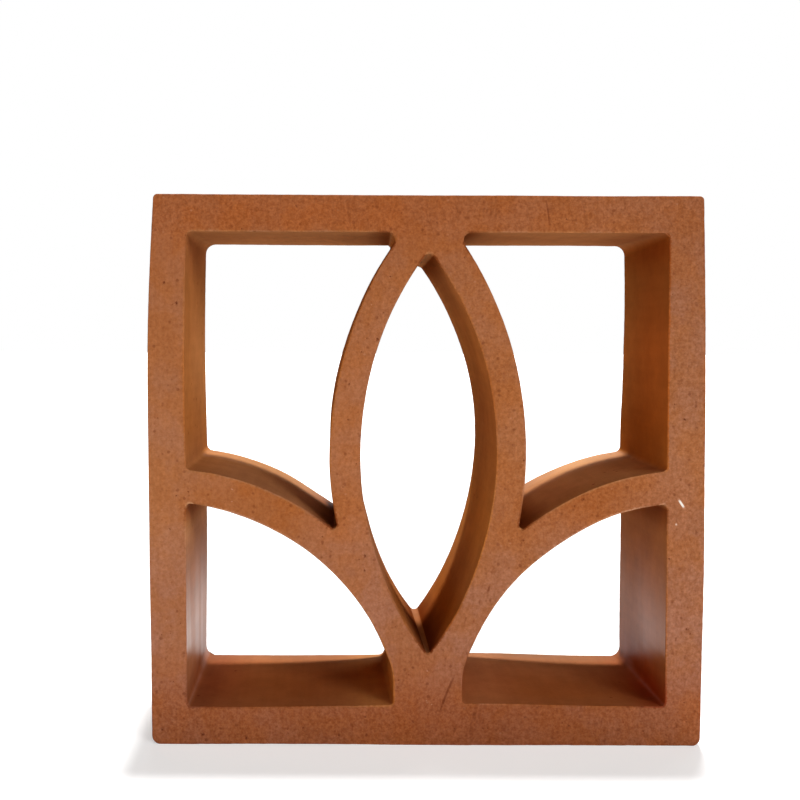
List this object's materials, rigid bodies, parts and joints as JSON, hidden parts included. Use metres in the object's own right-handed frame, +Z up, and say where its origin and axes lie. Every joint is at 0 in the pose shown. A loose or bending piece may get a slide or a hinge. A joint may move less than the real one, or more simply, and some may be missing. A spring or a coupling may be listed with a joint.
{
  "type": "breeze block",
  "caption": "Square fired-clay screen block pierced by a pointed leaf between curved petals, laid in courses to let air and light through a wall.",
  "frame": {"origin": "middle of the bottom bed face", "axes": "+X across the width to the right as seen from the front, +Y through the depth from the front face to the back face, +Z up with the leaf's long axis"},
  "size_m": [0.2029, 0.06, 0.2],
  "materials": {
    "fired_clay": "unglazed fired clay, wire-cut grainy faces and smoother extruded walls"
  },
  "bodies": {
    "root": {"block": "fired_clay"}
  },
  "joints": []
}
